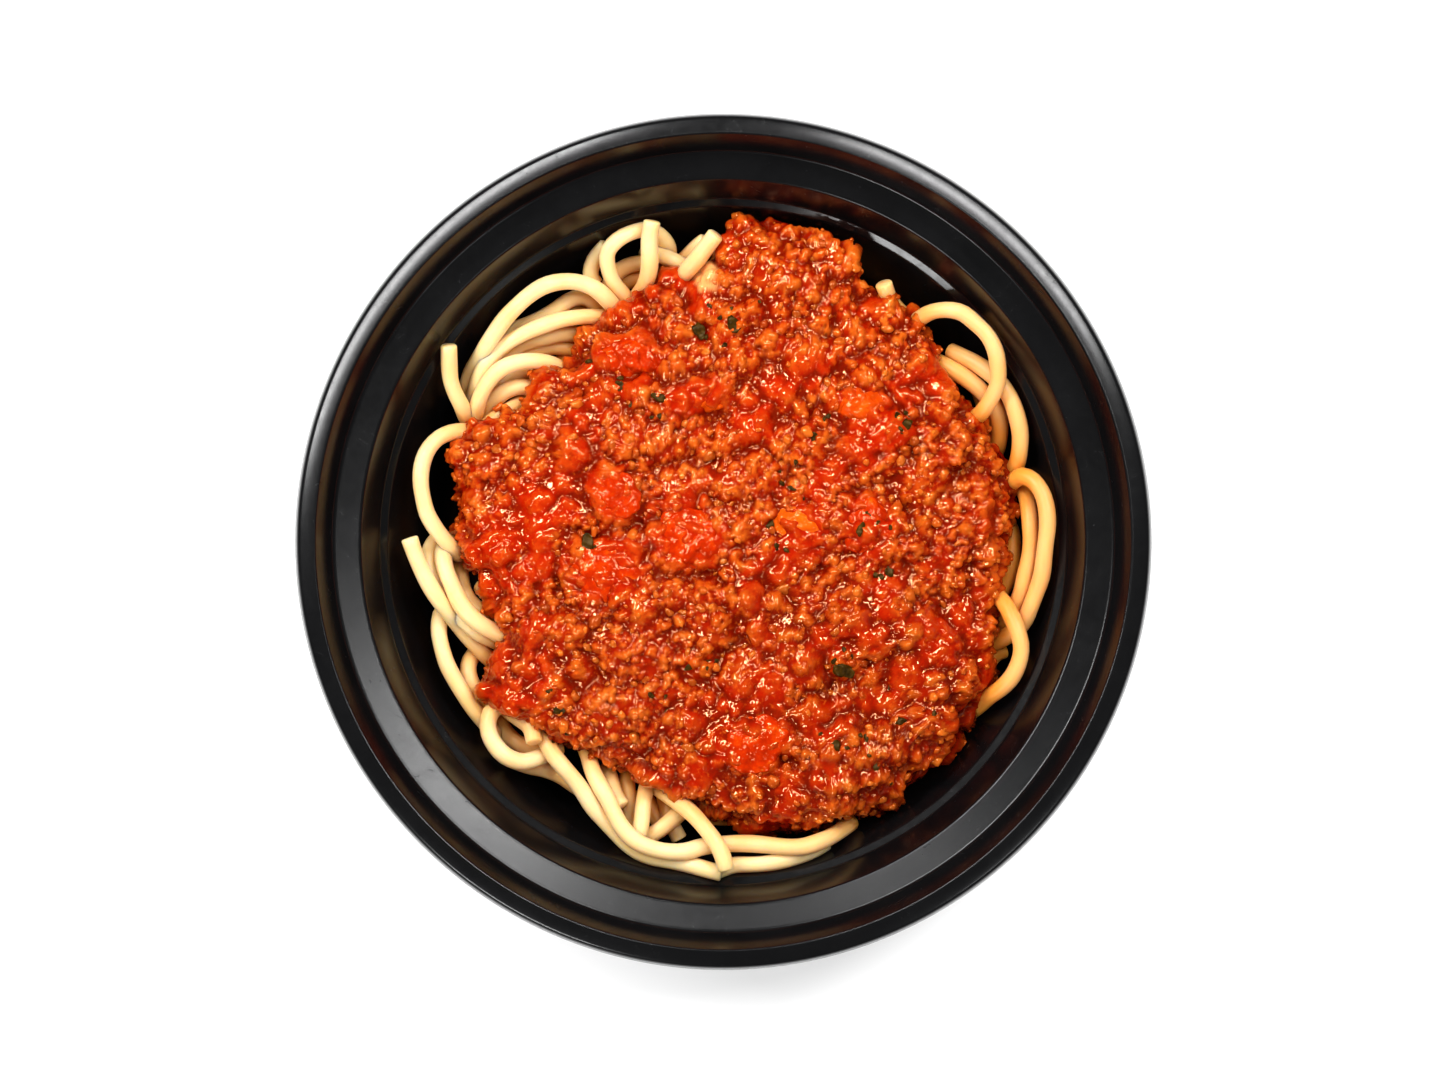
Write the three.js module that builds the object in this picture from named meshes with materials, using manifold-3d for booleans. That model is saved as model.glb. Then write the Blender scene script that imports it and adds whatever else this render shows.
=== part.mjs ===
// Spaghetti bolognese in a round take-away container: a thin-walled black tub with a flanged rim,
// a ledge and a small step in its wall, a nest of cooked spaghetti whose loose strands lean on the
// wall, a lumpy meat sauce on top, and soft tomato pieces sunk into the sauce.
// Millimetres, +Z up. The origin is the centre of the tub's foot, on the surface it stands on.

import * as THREE from "three";
import { mergeVertices } from "three/addons/utils/BufferGeometryUtils.js";
import Module from "manifold-3d";

const wasm = await Module();
wasm.setup();

// ---------------------------------------------------------------- driving dimensions

const RIM_RADIUS = 80; // outer edge of the rim
const TUB_HEIGHT = 42;
const WALL = 0.8; // wall thickness
const TUB_SEGMENTS = 48;
const FOOT_RADIUS = 55; // where the base turns up into the wall
const STEP_HEIGHT = 25.4; // small step round the wall
const STEP_RADIUS = 64.2;
const LEDGE_HEIGHT = 34.1; // stacking ledge below the rim
const LEDGE_INNER = 68.5;
const LEDGE_OUTER = 73.9;
const FLANGE_INNER = 76.2;
const SKIRT_DROP = 3; // the rim's turned-down edge

const GAP = 0.3; // between solids that touch
const STRAND_RADIUS = 1.55; // cooked spaghetti, 3.1 mm thick
const STRAND_SIDES = 5;

const PASTA_FLOOR = WALL + GAP; // underside of the nest
const PASTA_SIDE = 12; // height at which the nest is widest
const PASTA_CROWN = 23;
const SAUCE_CROWN = 31.5; // before its lumps
const SAUCE_LUMP = 1.5; // tallest lump

// ---------------------------------------------------------------- small helpers

const radians = THREE.MathUtils.degToRad;

// A repeatable random number from 0 to 1 for a whole number.
function noise(index) {
  const wave = Math.sin(index * 12.9898 + 4.1414) * 43758.5453;
  return wave - Math.floor(wave);
}

// The value at an azimuth, in degrees, of a smooth closed curve through [azimuth, value] pairs.
function around(pairs) {
  return (azimuth) => {
    const angle = THREE.MathUtils.euclideanModulo(azimuth, 360);
    const next = pairs.findIndex(([at]) => at > angle);
    const high = next === -1 ? 0 : next;
    const low = (high + pairs.length - 1) % pairs.length;
    const span = THREE.MathUtils.euclideanModulo(pairs[high][0] - pairs[low][0], 360);
    const share = THREE.MathUtils.euclideanModulo(angle - pairs[low][0], 360) / span;
    const eased = share * share * (3 - 2 * share);
    return THREE.MathUtils.lerp(pairs[low][1], pairs[high][1], eased);
  };
}

// A closed three.js geometry as a manifold solid, and the way back.
function toSolid(geometry) {
  const bare = geometry.clone();
  bare.deleteAttribute("normal");
  bare.deleteAttribute("uv");
  const merged = mergeVertices(bare, 1e-4);
  return new wasm.Manifold(
    new wasm.Mesh({
      numProp: 3,
      vertProperties: merged.attributes.position.array,
      triVerts: new Uint32Array(merged.index.array),
    }),
  );
}

function toGeometry(solid) {
  const mesh = solid.getMesh();
  const geometry = new THREE.BufferGeometry();
  geometry.setAttribute("position", new THREE.BufferAttribute(mesh.vertProperties, 3));
  geometry.setIndex(new THREE.BufferAttribute(mesh.triVerts, 1));
  geometry.computeVertexNormals();
  return geometry;
}

// A unit sphere whose every point is moved by place(azimuth in degrees, spread, rise): spread runs
// from 0 on the axis to 1 at the widest, and rise from 1 at the top to -1 at the bottom. A low
// roundness gives a flat top with steep sides.
function mound(segments, rings, roundness, place) {
  const geometry = new THREE.SphereGeometry(1, segments, rings);
  geometry.rotateX(Math.PI / 2);
  const points = geometry.attributes.position;
  const point = new THREE.Vector3();
  for (let i = 0; i < points.count; i++) {
    point.fromBufferAttribute(points, i);
    const spread = Math.hypot(point.x, point.y) ** roundness;
    const rise = Math.sign(point.z) * Math.abs(point.z) ** roundness;
    const azimuth = THREE.MathUtils.radToDeg(Math.atan2(point.y, point.x));
    points.setXYZ(i, ...place(azimuth, spread < 1e-6 ? 0 : spread, rise));
  }
  return geometry;
}

// ---------------------------------------------------------------- the tub

// The middle of the wall from the centre of the base out to the edge of the rim, as
// [radius, height, length trimmed off each side of the corner to round it].
const TUB_CORNERS = [
  [0, WALL / 2, 0],
  [FOOT_RADIUS, WALL / 2, 5],
  [STEP_RADIUS, STEP_HEIGHT, 0],
  [STEP_RADIUS + 1.7, STEP_HEIGHT + 0.4, 0],
  [LEDGE_INNER, LEDGE_HEIGHT, 0.5],
  [LEDGE_OUTER, LEDGE_HEIGHT + 0.5, 0],
  [FLANGE_INNER, TUB_HEIGHT - WALL / 2, 0.5],
  [RIM_RADIUS - 1.2, TUB_HEIGHT - WALL / 2 - 0.3, 0.9],
  [RIM_RADIUS - WALL / 2, TUB_HEIGHT - SKIRT_DROP - WALL / 2, 0],
];
const ROUNDING_STEPS = 3;

// The corners moved sideways by distance: positive to the inside of the tub.
function besideWall(distance) {
  return TUB_CORNERS.map(([radius, height, trim], i) => {
    const here = new THREE.Vector2(radius, height);
    const before = TUB_CORNERS[i - 1] ?? [-radius - 1, height];
    const after = TUB_CORNERS[i + 1];
    const arriving = here.clone().sub(new THREE.Vector2(before[0], before[1])).normalize();
    const leaving = after ? new THREE.Vector2(after[0], after[1]).sub(here).normalize() : arriving;
    const normal = new THREE.Vector2(-arriving.y - leaving.y, arriving.x + leaving.x).normalize();
    const reach = distance / normal.dot(new THREE.Vector2(-arriving.y, arriving.x));
    here.addScaledVector(normal, reach);
    if (radius === 0) here.x = 0;
    return [here.x, here.y, trim];
  });
}

// The points of a run of corners, each rounded by its own trim.
function roundedRun(corners) {
  const points = [];
  corners.forEach(([radius, height, trim], i) => {
    const corner = new THREE.Vector2(radius, height);
    if (trim === 0 || i === 0 || i === corners.length - 1) {
      points.push(corner);
      return;
    }
    const toward = (other) =>
      corner.clone().add(new THREE.Vector2(other[0], other[1]).sub(corner).setLength(trim));
    const bend = new THREE.QuadraticBezierCurve(toward(corners[i - 1]), corner, toward(corners[i + 1]));
    points.push(...bend.getPoints(trim > 1 ? ROUNDING_STEPS : 1));
  });
  return points;
}

function tubGeometry() {
  const outside = roundedRun(besideWall(-WALL / 2));
  const inside = roundedRun(besideWall(WALL / 2)).reverse();
  const geometry = new THREE.LatheGeometry([...outside, ...inside], TUB_SEGMENTS);
  geometry.rotateX(Math.PI / 2);
  return geometry;
}

// All the room in the tub that its contents may take, a gap clear of the wall.
function tubRoom() {
  const inside = roundedRun(besideWall(WALL / 2 + GAP)).filter((p) => p.y < TUB_HEIGHT - WALL);
  const brim = inside[inside.length - 1];
  const lid = [new THREE.Vector2(brim.x, TUB_HEIGHT * 2), new THREE.Vector2(0, TUB_HEIGHT * 2)];
  const geometry = new THREE.LatheGeometry([...inside, ...lid], TUB_SEGMENTS);
  geometry.rotateX(Math.PI / 2);
  return toSolid(geometry);
}

// The lowest height at which the middle of a strand clears the wall, at a distance from the axis.
const WALL_LEAN = (STEP_RADIUS - FOOT_RADIUS) / (STEP_HEIGHT - WALL / 2);
function restingHeight(radius) {
  const clear = STRAND_RADIUS + WALL / 2 + 2 * GAP;
  const onStep = STEP_HEIGHT + clear + 0.4;
  const edge = radius + clear / Math.cos(Math.atan(WALL_LEAN));
  const onWall = STEP_HEIGHT - (STEP_RADIUS - edge) / WALL_LEAN;
  return edge > STEP_RADIUS ? onStep : onWall;
}

// ---------------------------------------------------------------- the spaghetti

// How far the packed middle of the nest reaches, by azimuth.
const nestRadius = around([
  [0, 51], [22, 50], [45, 47], [62, 47], [80, 51], [104, 53], [128, 52], [146, 51],
  [166, 45], [184, 48], [205, 51], [222, 50], [238, 48], [258, 50], [280, 50], [310, 47], [340, 49],
]);

function nest(grow) {
  return mound(32, 8, 0.6, (azimuth, spread, rise) => {
    const angle = radians(azimuth);
    const ripple = 0.7 * Math.sin(7 * angle) * spread * spread;
    const radius = (nestRadius(azimuth) + grow) * spread;
    const crown = PASTA_CROWN + grow + ripple - 2.2 * spread * spread;
    const low = PASTA_FLOOR - grow;
    const height = PASTA_SIDE + (rise > 0 ? rise * (crown - PASTA_SIDE) : rise * (PASTA_SIDE - low));
    return [radius * Math.cos(angle), radius * Math.sin(angle), height];
  });
}

// The strands that stand clear of the nest, each by the [azimuth, radius, height] of the points it
// passes. Both ends start inside the nest unless the strand shows its cut end.
const LOOSE_STRANDS = {
  right_loop_outer: [
    [18, 44, 16], [13, 58, 25], [7, 62, 27], [0, 62.5, 27],
    [-7, 61, 26], [-16, 58, 22], [-20, 44, 16],
  ],
  right_loop_low: [[-8, 44, 16], [-12, 55, 21], [-17, 59, 23], [-22, 61, 25], [-29, 58, 23], [-34, 44, 15]],
  upper_right_arch: [
    [50, 44, 16], [48, 54, 24], [44, 61, 28], [39, 63.5, 29],
    [33, 63, 29], [27, 58, 26], [24, 44, 16],
  ],
  upper_right_under: [[40, 44, 16], [36, 57, 22], [28, 61, 24], [20, 60.5, 24], [14, 44, 16]],
  top_arch: [[110, 44, 16], [115, 55, 21], [110, 59.5, 24], [104, 61, 24], [99, 57, 21], [97, 44, 16]],
  top_end: [[106, 44, 16], [106, 53, 24], [103, 60.5, 26]],
  top_right_end: [[98, 44, 16], [94, 54, 24], [91, 57.5, 25]],
  upper_left_arch: [
    [154, 44, 16], [147, 55, 19], [135, 59, 22],
    [123, 59.5, 24], [117, 55, 24], [118, 44, 16],
  ],
  left_end: [[158, 44, 16], [153, 56, 19], [145, 60.5, 23]],
  left_loop: [[152, 42, 16], [158, 55, 18], [165, 58, 18], [173, 57, 17], [178, 50, 16], [184, 42, 15]],
  left_lower_end: [[206, 42, 16], [197, 54, 19], [189, 58, 20], [180, 60, 21]],
  left_lower_curl: [[204, 42, 16], [193, 50, 20], [185, 55, 21], [180, 55, 21], [181, 44, 16]],
  left_outer: [[190, 44, 12], [197, 56, 14], [206, 58, 15], [215, 58, 15], [222, 44, 14]],
  lower_left_curl: [[212, 42, 16], [217, 56, 19], [223, 58, 19], [230, 56, 19], [226, 44, 16]],
  lower_left_outer: [
    [228, 42, 16], [233, 56, 17], [241, 59, 18], [250, 60, 21],
    [258, 60.5, 23], [268, 59, 23], [272, 44, 16],
  ],
  bottom_long: [
    [240, 42, 16], [247, 56, 21], [256, 59.5, 24], [268, 58, 24],
    [279, 59.5, 24], [286, 57, 22], [290, 44, 16],
  ],
  bottom_end: [[260, 44, 16], [264, 54, 24], [269, 61, 26]],
};

function strand(stops, thickness) {
  const points = stops.map(([azimuth, radius, height]) => {
    const angle = radians(azimuth);
    const lifted = Math.max(height, restingHeight(radius));
    return new THREE.Vector3(radius * Math.cos(angle), radius * Math.sin(angle), lifted);
  });
  const path = new THREE.CatmullRomCurve3(points, false, "centripetal");
  const section = new THREE.Shape();
  for (let i = 0; i < STRAND_SIDES; i++) {
    const angle = (2 * Math.PI * i) / STRAND_SIDES;
    section[i ? "lineTo" : "moveTo"](thickness * Math.cos(angle), thickness * Math.sin(angle));
  }
  const steps = 2 * (stops.length - 1);
  return toSolid(new THREE.ExtrudeGeometry(section, { steps, extrudePath: path, bevelEnabled: false }));
}

function looseStrands(grow) {
  return wasm.Manifold.union(
    Object.values(LOOSE_STRANDS).map((stops) => strand(stops, STRAND_RADIUS + grow)),
  );
}

// ---------------------------------------------------------------- the meat sauce

// How far the sauce spreads, by azimuth: its lobes and the notches between them.
const sauceRadius = around([
  [0, 53], [14, 57], [24, 55], [37, 53], [45, 57], [55, 56], [62, 56], [69, 62], [82, 61.5], [91, 56],
  [97, 51], [102, 52.5], [112, 49], [123, 48.5], [131, 46], [139, 48], [148, 46], [157, 54.5], [163, 55],
  [172, 50], [182, 50.5], [191, 46], [202, 45], [211, 54.5], [220, 51.5], [237, 49], [254, 48.5], [264, 50],
  [275, 55.5], [288, 58], [301, 61.5], [308, 59], [320, 60.5], [335, 58], [340, 54], [350, 53.5],
]);
// How low its edge hangs: over the strands on most sides, down the side of the nest at one.
const sauceHem = around([[20, 20], [75, 21], [120, 20], [200, 20], [260, 20], [295, 9], [325, 9], [350, 18]]);

// Lumps of mince under the sauce: rounded bumps on a sunflower spiral, uneven in size and height.
const LUMPS = 60;
const GOLDEN_ANGLE = Math.PI * (3 - Math.sqrt(5));
const lumps = Array.from({ length: LUMPS }, (_, i) => {
  const radius = 57 * Math.sqrt((i + 0.5) / LUMPS);
  return {
    x: radius * Math.cos(i * GOLDEN_ANGLE) + 2 * noise(i),
    y: radius * Math.sin(i * GOLDEN_ANGLE) + 2 * noise(i + 200),
    width: 6 + 4 * noise(i + 400),
    height: SAUCE_LUMP * (0.3 + 0.7 * noise(i + 600)),
  };
});
function lumpHeight(x, y) {
  return lumps.reduce((tallest, lump) => {
    const away = Math.hypot(x - lump.x, y - lump.y) / lump.width;
    return away < 1 ? Math.max(tallest, lump.height * Math.cos((away * Math.PI) / 2)) : tallest;
  }, 0);
}

// The sauce's top, on the flat of its crown.
function sauceTop(x, y) {
  const spread = Math.hypot(x, y) / sauceRadius(THREE.MathUtils.radToDeg(Math.atan2(y, x)));
  return SAUCE_CROWN - 2.5 * spread * spread + lumpHeight(x, y);
}

function sauceMound() {
  return mound(48, 15, 0.5, (azimuth, spread, rise) => {
    const angle = radians(azimuth);
    const radius = sauceRadius(azimuth) * spread;
    const [x, y] = [radius * Math.cos(angle), radius * Math.sin(angle)];
    const edge = sauceHem(azimuth) + 3;
    const low = sauceHem(azimuth) - 2;
    return [x, y, edge + rise * (rise > 0 ? sauceTop(x, y) - edge : edge - low)];
  });
}

// ---------------------------------------------------------------- the tomato pieces

// Soft tomato pieces: [x, y, length, width, turn in degrees].
const TOMATOES = [
  [14.5, 3.5, 10, 7, 5],
  [6, -38, 11, 11, 60],
  [-20.5, 8.5, 9, 9, 40],
  [-5.5, 27.5, 12, 6, 10],
  [-22, -6, 14, 11, 25],
  [-6.5, 0.5, 13, 10, -30],
  [-17.5, 35, 12, 7, 15],
  [26, 25.5, 9, 7, 30],
  [27, 3, 9, 12, 10],
];
const TOMATO_THICKNESS = 5;
const TOMATO_SUNK = 0.6; // of its height

function tomato([x, y, length, width, turn], grow) {
  const geometry = new THREE.SphereGeometry(1, 9, 6);
  geometry.rotateX(Math.PI / 2);
  geometry.scale(length / 2 + grow, width / 2 + grow, TOMATO_THICKNESS / 2 + grow);
  geometry.rotateZ(radians(turn));
  const height = sauceTop(x, y) + TOMATO_THICKNESS * (0.5 - TOMATO_SUNK);
  geometry.translate(x, y, height);
  return geometry;
}

// ---------------------------------------------------------------- the solids, fitted to each other

const room = tubRoom();

// The one large body of a solid, without the crumbs a cut leaves.
function largest(solid) {
  return solid.decompose().reduce((kept, body) => (body.volume() > kept.volume() ? body : kept));
}

function spaghettiSolid(grow) {
  return toSolid(nest(grow)).add(looseStrands(grow));
}

function sauceSolid() {
  const pockets = wasm.Manifold.union(TOMATOES.map((piece) => toSolid(tomato(piece, GAP))));
  const whole = toSolid(sauceMound()).intersect(room);
  return largest(whole.subtract(spaghettiSolid(GAP)).subtract(pockets));
}

// ---------------------------------------------------------------- materials and meshes

const blackPlastic = new THREE.MeshStandardMaterial({ color: 0x161617, roughness: 0.3, metalness: 0 });
const pasta = new THREE.MeshStandardMaterial({ color: 0xf3d68c, roughness: 0.45, metalness: 0 });
const sauce = new THREE.MeshStandardMaterial({ color: 0xb52f0b, roughness: 0.3, metalness: 0 });
const tomatoFlesh = new THREE.MeshStandardMaterial({ color: 0xd8320c, roughness: 0.25, metalness: 0 });

const dish = new THREE.Group();

function place(name, geometry, material) {
  const mesh = new THREE.Mesh(geometry, material);
  mesh.name = name;
  dish.add(mesh);
}

place("container", tubGeometry(), blackPlastic);
place("spaghetti", toGeometry(largest(spaghettiSolid(0).intersect(room))), pasta);
place("meat_sauce", toGeometry(sauceSolid()), sauce);
TOMATOES.forEach((piece, i) => place(`tomato_piece_${i + 1}`, tomato(piece, 0), tomatoFlesh));

export default dish;
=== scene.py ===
import math

import bmesh
import bpy
import numpy as np
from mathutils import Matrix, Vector
from mathutils.kdtree import KDTree


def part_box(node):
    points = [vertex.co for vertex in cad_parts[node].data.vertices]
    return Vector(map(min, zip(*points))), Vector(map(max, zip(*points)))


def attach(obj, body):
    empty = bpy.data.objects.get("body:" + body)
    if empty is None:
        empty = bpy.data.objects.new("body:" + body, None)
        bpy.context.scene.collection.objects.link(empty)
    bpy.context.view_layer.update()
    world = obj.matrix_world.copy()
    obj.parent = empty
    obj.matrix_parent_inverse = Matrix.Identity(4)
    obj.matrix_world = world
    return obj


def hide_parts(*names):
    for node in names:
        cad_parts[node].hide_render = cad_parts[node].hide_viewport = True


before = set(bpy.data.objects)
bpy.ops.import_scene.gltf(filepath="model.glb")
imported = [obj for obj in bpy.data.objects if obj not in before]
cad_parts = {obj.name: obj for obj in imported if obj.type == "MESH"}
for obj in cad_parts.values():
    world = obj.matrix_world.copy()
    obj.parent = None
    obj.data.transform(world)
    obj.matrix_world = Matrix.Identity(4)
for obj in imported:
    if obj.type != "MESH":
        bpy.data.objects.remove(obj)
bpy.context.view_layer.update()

MM = 0.001

RIM_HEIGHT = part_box("container")[1][2]  # in metres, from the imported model
STRAND = 1.62  # radius of a cooked strand, in millimetres


# ------------------------------------------------------------------ helpers

def mesh_piece(name, verts, faces, material, slot):
    """A mesh object from points in millimetres; it rides on the one body."""
    mesh = bpy.data.meshes.new(name)
    mesh.from_pydata((np.asarray(verts) * MM).tolist(), [], [list(map(int, f)) for f in faces])
    mesh.validate()
    mesh.update()
    piece = bpy.data.objects.new(name, mesh)
    bpy.context.scene.collection.objects.link(piece)
    mesh.materials.append(material)
    for polygon in mesh.polygons:
        polygon.use_smooth = True
    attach(piece, "root")
    return piece


def paint(piece, name, values):
    """Stores one number or colour per point of a piece, for its material to read."""
    values = np.asarray(values, dtype=np.float32)
    kind = "FLOAT" if values.ndim == 1 else "FLOAT_COLOR"
    layer = piece.data.attributes.new(name, kind, "POINT")
    if values.ndim == 1:
        layer.data.foreach_set("value", values)
    else:
        rgba = np.ones((len(values), 4), dtype=np.float32)
        rgba[:, :3] = values
        layer.data.foreach_set("color", rgba.ravel())


def around(pairs):
    """A smooth closed curve of value against azimuth, in degrees, through the pairs given."""
    knots = np.array(sorted(pairs), dtype=float)
    turns = np.vstack([knots - [360, 0], knots, knots + [360, 0]])

    def value(azimuth):
        angle = np.mod(azimuth, 360)
        k = np.clip(np.searchsorted(turns[:, 0], angle, side="right"), 1, len(turns) - 1)
        low, high = turns[k - 1], turns[k]
        share = (angle - low[..., 0]) / (high[..., 0] - low[..., 0])
        eased = share * share * (3 - 2 * share)
        return low[..., 1] + (high[..., 1] - low[..., 1]) * eased

    return value


def linear(red, green, blue):
    """A display colour, 0 to 255, as the linear colour a shader takes."""
    c = np.array([red, green, blue]) / 255
    return tuple(np.where(c <= 0.04045, c / 12.92, ((c + 0.055) / 1.055) ** 2.4))


def waves(points, size, seed, layers=3):
    """Smooth repeatable noise, about -1 to 1, over points in millimetres."""
    finer = 1.8  # how much smaller and weaker each layer is than the one before
    waves_in_layer = 5
    rng = np.random.default_rng(seed)
    total = np.zeros(len(points))
    for layer in range(layers):
        scale = size / finer ** layer
        for _ in range(waves_in_layer):
            direction = rng.normal(size=3)
            direction /= np.linalg.norm(direction)
            phase = rng.uniform(0, 2 * np.pi)
            stretch = rng.uniform(0.7, 1.4)
            total += np.sin(points @ direction * 2 * np.pi / (scale * stretch) + phase) / finer ** layer
    return total / 4.5


# ------------------------------------------------------------------ materials

class Nodes:
    """A node material being put together."""

    def __init__(self, name):
        self.material = bpy.data.materials.new(name)
        self.material.use_nodes = True
        self.tree = self.material.node_tree
        self.shader = self.tree.nodes["Principled BSDF"]
        self.place = self.add("ShaderNodeTexCoord").outputs["Object"]

    def add(self, kind, **settings):
        node = self.tree.nodes.new(kind)
        for name, value in settings.items():
            setattr(node, name, value)
        return node

    def link(self, source, target):
        self.tree.links.new(source, target)

    def noise(self, per_metre, detail=3, roughness=0.55, distortion=0.0):
        node = self.add("ShaderNodeTexNoise")
        self.link(self.place, node.inputs["Vector"])
        node.inputs["Scale"].default_value = per_metre
        node.inputs["Detail"].default_value = detail
        node.inputs["Roughness"].default_value = roughness
        node.inputs["Distortion"].default_value = distortion
        return node.outputs["Fac"]

    def pebbles(self, per_metre, warp):
        """Distance from the middle of small uneven cells: 0 at their tops."""
        drift = self.add("ShaderNodeTexNoise")
        self.link(self.place, drift.inputs["Vector"])
        drift.inputs["Scale"].default_value = per_metre * 0.6
        moved = self.add("ShaderNodeVectorMath", operation="MULTIPLY_ADD")
        self.link(drift.outputs["Color"], moved.inputs[0])
        moved.inputs[1].default_value = (warp,) * 3
        self.link(self.place, moved.inputs[2])
        cells = self.add("ShaderNodeTexVoronoi", feature="SMOOTH_F1")
        self.link(moved.outputs["Vector"], cells.inputs["Vector"])
        cells.inputs["Scale"].default_value = per_metre
        cells.inputs["Smoothness"].default_value = 0.25
        return self.fit(cells.outputs["Distance"], 0.0, 1.0, 1.0, 0.0)

    def ramp(self, value, stops):
        node = self.add("ShaderNodeValToRGB")
        self.link(value, node.inputs["Fac"])
        band = node.color_ramp
        while len(band.elements) < len(stops):
            band.elements.new(0.5)
        for element, (at, colour) in zip(band.elements, stops):
            element.position = at
            element.color = (*colour, 1)
        return node.outputs["Color"]

    def fit(self, value, low, high, to_low, to_high):
        node = self.add("ShaderNodeMapRange")
        self.link(value, node.inputs["Value"])
        for key, number in zip(("From Min", "From Max", "To Min", "To Max"), (low, high, to_low, to_high)):
            node.inputs[key].default_value = number
        return node.outputs["Result"]

    def mix(self, amount, one, two):
        node = self.add("ShaderNodeMix", data_type="RGBA", blend_type="MIX")
        for key, source in (("Factor", amount), ("A", one), ("B", two)):
            socket = node.inputs[key]
            if isinstance(source, bpy.types.NodeSocket):
                self.link(source, socket)
            elif isinstance(source, tuple):
                socket.default_value = (*source, 1)
            else:
                socket.default_value = source
        return node.outputs["Result"]

    def attribute(self, name, output="Fac"):
        return self.add("ShaderNodeAttribute", attribute_name=name).outputs[output]

    def bump(self, height, distance, strength=1.0, after=None):
        node = self.add("ShaderNodeBump")
        self.link(height, node.inputs["Height"])
        node.inputs["Distance"].default_value = distance
        node.inputs["Strength"].default_value = strength
        if after is not None:
            self.link(after, node.inputs["Normal"])
        return node.outputs["Normal"]

    def set(self, **sockets):
        names = {"colour": "Base Color", "roughness": "Roughness", "normal": "Normal",
                 "subsurface": "Subsurface Weight", "radius": "Subsurface Radius",
                 "scale": "Subsurface Scale", "coat": "Coat Weight", "coat_roughness": "Coat Roughness",
                 "coat_normal": "Coat Normal",
                 "specular": "Specular IOR Level", "specular_tint": "Specular Tint"}
        for key, value in sockets.items():
            socket = self.shader.inputs[names[key]]
            if isinstance(value, bpy.types.NodeSocket):
                self.link(value, socket)
            elif key in ("colour", "specular_tint"):
                socket.default_value = (*value, 1)
            else:
                socket.default_value = value


def plastic_material():
    m = Nodes("black_plastic")
    haze = m.noise(90, 4)
    grain = m.noise(1400, 2)
    scuff = m.noise(260, 6, 0.7, 1.5)
    worn = m.fit(m.noise(70, 2), 0.56, 0.66, 0.0, 1.0)
    speck = m.fit(m.noise(1500, 2, 0.7, 2.0), 0.70, 0.76, 0.0, 0.3)
    black = m.ramp(haze, [(0.3, linear(13, 13, 14)), (0.75, linear(19, 19, 20))])
    pale = m.mix(speck, black, linear(150, 150, 152))
    m.set(
        colour=m.mix(worn, black, pale),
        roughness=m.ramp(scuff, [(0.35, (0.20,) * 3), (0.62, (0.24,) * 3), (0.74, (0.33,) * 3)]),
        normal=m.bump(grain, 0.00001, 0.2),
        specular=0.42,
    )
    return m.material


def pasta_material():
    m = Nodes("cooked_pasta")
    cloud = m.noise(110, 4)
    speckle = m.noise(900, 2)
    body = m.ramp(cloud, [(0.3, linear(232, 194, 137)), (0.7, linear(237, 203, 157))])
    # Mixed to amber by the mesh's numbers: oil stain near the sauce, painted shade low in the nest, and
    # darker amber towards the right.
    stained_and_shaded = m.mix(m.attribute("oil_stain_and_shade"), body, linear(218, 134, 38))
    m.set(
        colour=stained_and_shaded,
        roughness=m.fit(speckle, 0.3, 0.7, 0.34, 0.46),
        subsurface=0.8,
        radius=(1.0, 0.75, 0.3),
        scale=0.004,
        normal=m.bump(m.noise(420, 3), 0.00012, 0.4),
        specular=0.3,
    )
    return m.material


def sauce_material():
    m = Nodes("meat_sauce")
    # The sauce's colour from its mesh, with painted shade in the creases and painted light on the crests.
    tint_light_and_shade = m.attribute("tint_light_and_shade", "Color")
    fleck = m.noise(900, 3, 0.6)
    colour = m.mix(m.fit(fleck, 0.56, 0.72, 0.0, 0.35), tint_light_and_shade, linear(222, 112, 36))
    colour = m.mix(m.fit(m.noise(640, 3), 0.56, 0.74, 0.0, 0.5), colour, linear(112, 18, 0))
    wet = m.bump(m.noise(1300, 2, 0.5, 0.5), 0.0001, 0.3, after=m.bump(m.pebbles(470, 0.0016), 0.0004, 0.5))
    m.set(
        colour=colour,
        roughness=m.fit(m.noise(300, 3), 0.3, 0.7, 0.04, 0.1),
        normal=wet,
        coat=0.14,
        coat_roughness=0.05,
        coat_normal=wet,
        subsurface=0.15,
        radius=(1.0, 0.2, 0.04),
        scale=0.0009,
        specular=0.8,
        specular_tint=(1.0, 0.57, 0.26),
    )
    return m.material


def tomato_material():
    m = Nodes("tomato_flesh")
    body = m.ramp(m.noise(330, 4, 0.6), [
        (0.32, linear(140, 17, 0)), (0.5, linear(168, 32, 0)), (0.62, linear(184, 52, 2)),
        (0.75, linear(208, 96, 16)),
    ])
    wet = m.bump(m.noise(620, 3, 0.5, 1.0), 0.0002, 0.7, after=m.bump(m.pebbles(430, 0.0016), 0.0005, 0.6))
    m.set(
        colour=m.mix(m.attribute("pale"), body, linear(216, 98, 16)),
        roughness=0.09,
        normal=wet,
        coat=0.14,
        coat_roughness=0.05,
        coat_normal=wet,
        subsurface=0.2,
        radius=(1.0, 0.25, 0.06),
        scale=0.001,
        specular=0.5,
        specular_tint=(1.0, 0.57, 0.26),
    )
    return m.material


def herb_material():
    m = Nodes("herb_leaf")
    m.set(
        colour=m.ramp(m.noise(900, 3), [(0.3, linear(30, 20, 2)), (0.7, linear(72, 48, 6))]),
        roughness=0.35,
        normal=m.bump(m.noise(1500, 2), 0.0001, 0.5),
        specular=0.25,
        specular_tint=(1.0, 0.75, 0.45),
    )
    return m.material


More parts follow.
